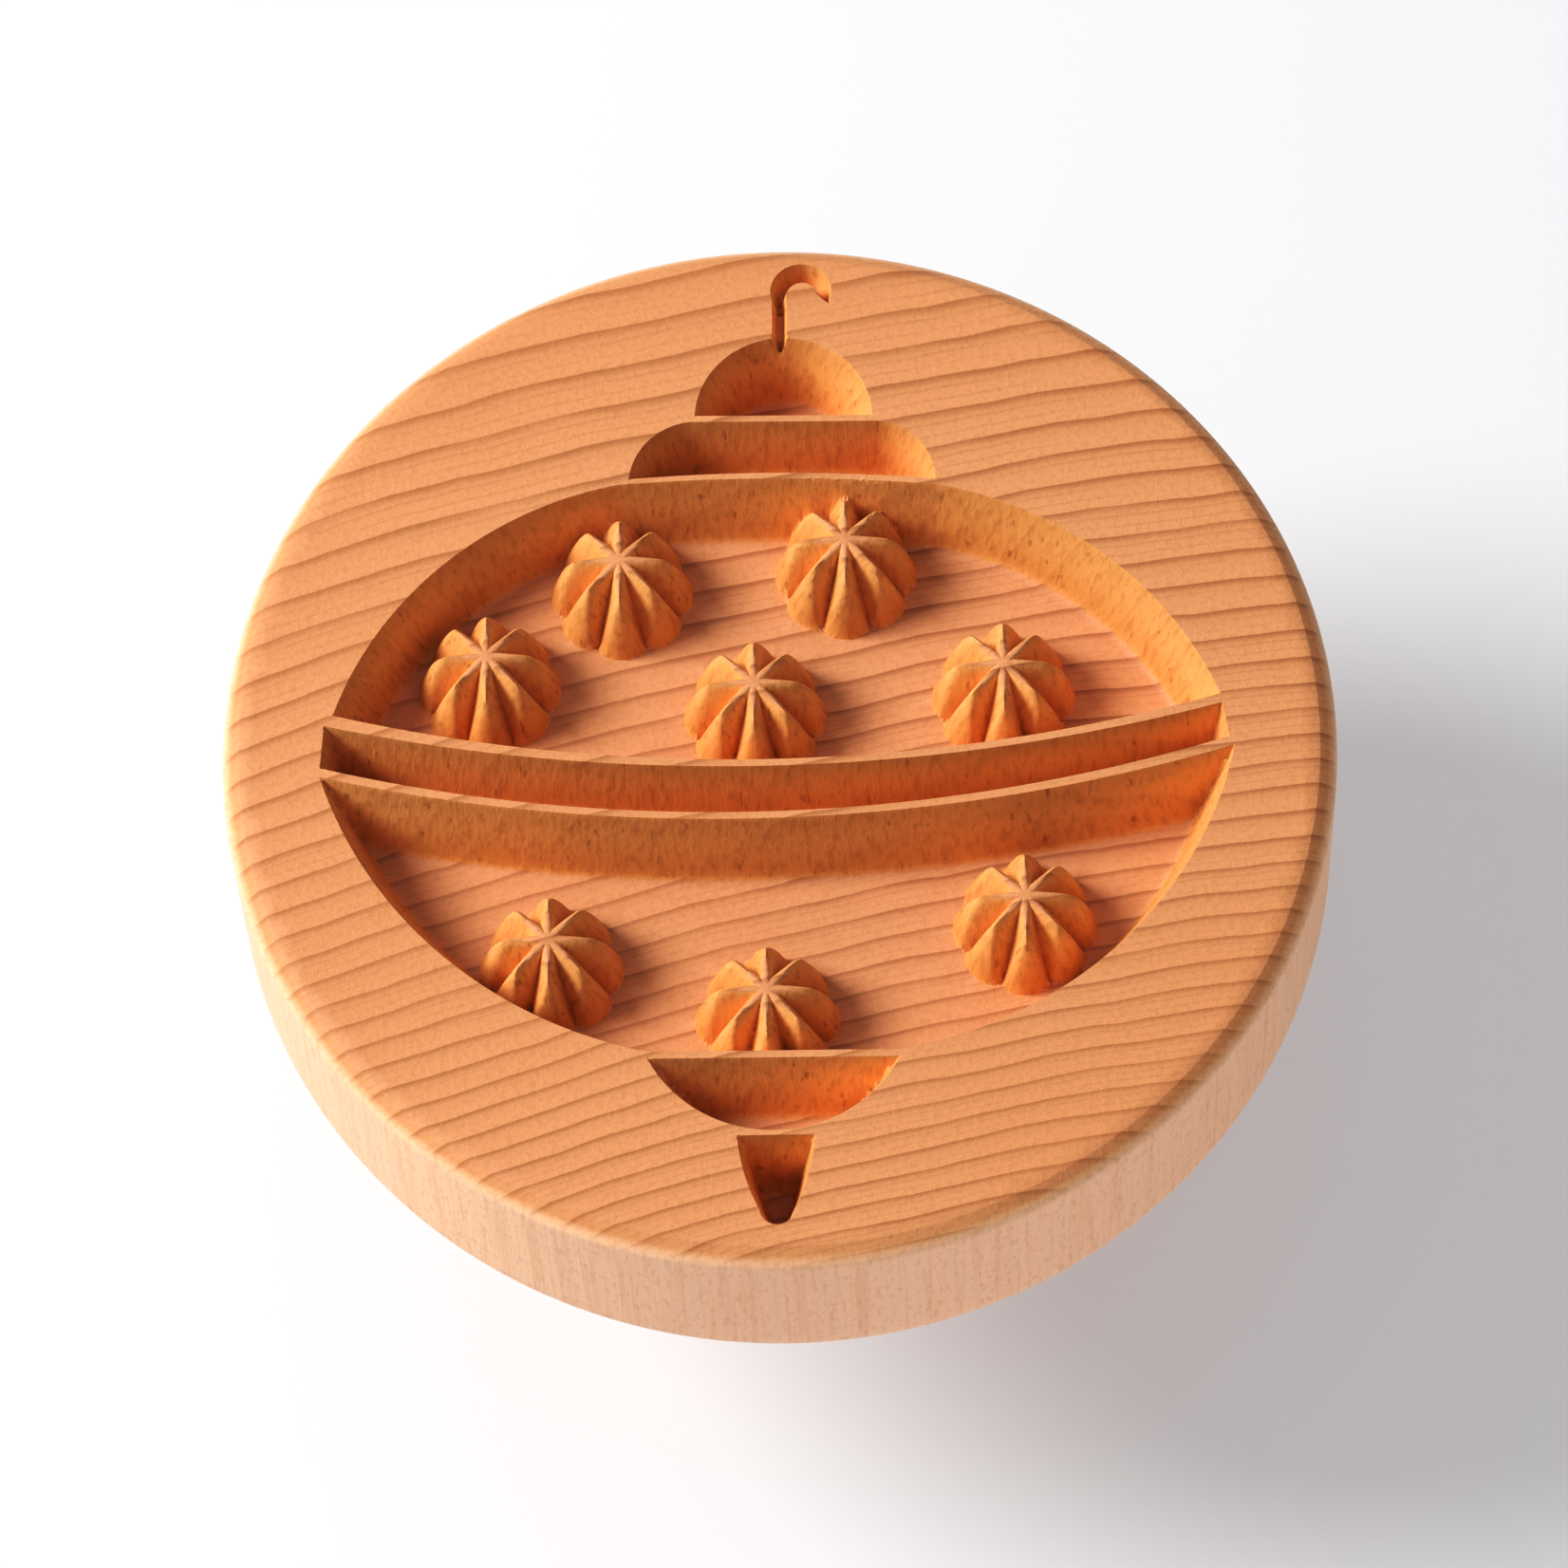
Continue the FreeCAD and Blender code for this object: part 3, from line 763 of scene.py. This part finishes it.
def make_camera():
    """Looks down on the carved face from the front, a little tipped."""
    azimuth, elevation, tip = CAMERA_AZIMUTH, CAMERA_ELEVATION, CAMERA_TIP
    distance = 15.295 * PLATE_RADIUS
    shift_right = -0.00478 * PLATE_RADIUS
    shift_up = 0.0791 * PLATE_RADIUS
    back = Vector((math.sin(azimuth) * math.cos(elevation), -math.cos(azimuth) * math.cos(elevation),
                   math.sin(elevation)))
    right = Vector((math.cos(azimuth), math.sin(azimuth), 0))
    up = back.cross(right)
    place = Vector((0, 0, FACE_HEIGHT)) + back * distance - right * shift_right - up * shift_up
    camera_right = right * math.cos(tip) + up * math.sin(tip)
    camera_up = up * math.cos(tip) - right * math.sin(tip)
    turn = Matrix((camera_right, camera_up, back)).transposed().to_4x4()
    data = bpy.data.cameras.new("camera")
    data.sensor_width = 36
    data.lens = CAMERA_LENS
    data.clip_start = 0.01
    camera = bpy.data.objects.new("camera", data)
    bpy.context.scene.collection.objects.link(camera)
    camera.matrix_world = Matrix.Translation(place) @ turn
    bpy.context.scene.camera = camera


def make_lights():
    scene = bpy.context.scene
    scene.view_settings.view_transform = "Standard"
    # a gently deeper toe than the standard curve, as a camera gives
    scene.view_settings.use_curve_mapping = True
    tones = scene.view_settings.curve_mapping
    for place, value in TONE_POINTS:
        tones.curves[3].points.new(place, value)
    tones.update()
    world = bpy.data.worlds.new("studio")
    scene.world = world
    world.use_nodes = True
    tree = world.node_tree
    backdrop = tree.nodes["Background"]
    sky = tree.nodes.new("ShaderNodeSeparateXYZ")
    tree.links.new(tree.nodes.new("ShaderNodeTexCoord").outputs["Generated"], sky.inputs[0])
    glow = tree.nodes.new("ShaderNodeMapRange")
    tree.links.new(sky.outputs["Z"], glow.inputs["Value"])
    glow.inputs["From Min"].default_value = SKY_FROM
    glow.inputs["From Max"].default_value = SKY_TO
    glow.inputs["To Min"].default_value = SKY_LOW
    glow.inputs["To Max"].default_value = SKY_HIGH
    tree.links.new(glow.outputs["Result"], backdrop.inputs["Strength"])
    backdrop.inputs["Color"].default_value = (0.97, 0.985, 1.0, 1)
    key = bpy.data.lights.new("key", "AREA")
    key.shape = "DISK"
    key.size = KEY_SIZE
    key.energy = KEY_POWER
    key.color = (1.0, 0.995, 0.985)
    lamp = bpy.data.objects.new("key", key)
    bpy.context.scene.collection.objects.link(lamp)
    direction = Vector(KEY_DIRECTION).normalized()
    lamp.location = Vector((0, 0, FACE_HEIGHT)) + direction * KEY_DISTANCE
    lamp.rotation_euler = direction.to_track_quat("Z", "Y").to_euler()
    # a low reflector in front, level with the turned side, so the carving stays in shade
    bounce = bpy.data.lights.new("bounce", "AREA")
    bounce.shape = "RECTANGLE"
    bounce.size = CARD_WIDTH
    bounce.size_y = CARD_DEPTH
    bounce.energy = CARD_POWER
    card = bpy.data.objects.new("bounce", bounce)
    bpy.context.scene.collection.objects.link(card)
    facing = Vector(CARD_DIRECTION).normalized()
    card.location = facing * CARD_DISTANCE + Vector((0, 0, CARD_HEIGHT))
    card.rotation_euler = facing.to_track_quat("Z", "Y").to_euler()


plate = make_plate()
handle = make_handle()
stud = make_stud()
plate_wood = wood("oiled_beech_plate", (64 * MM, -276 * MM), 2.1 * MM,
                  ((0.715, 0.330, 0.160), (0.43, 0.172, 0.072), (0.20, 0.062, 0.020)),
                  PLATE_RADIUS, FACE_HEIGHT - POCKET_DEPTH * MM)
handle_wood = wood("oiled_beech_handle", (30 * MM, -60 * MM), 2.2 * MM,
                   ((0.74, 0.38, 0.200), (0.50, 0.220, 0.100), (0.27, 0.10, 0.035)), 0.0)
paint(plate, plate_wood)
paint(handle, handle_wood)
paint(stud, metal("zinc_plated_stud", (0.62, 0.62, 0.63), 0.28, (400, 400, 4000)))
dress_cad_node("threaded_insert", metal("brass", (0.80, 0.56, 0.24), 0.25, (2500, 2500, 600)))
dress_cad_node("washer", metal("zinc_plated_washer", (0.66, 0.66, 0.67), 0.30, (1500, 1500, 1500)))
make_floor()
make_camera()
make_lights()
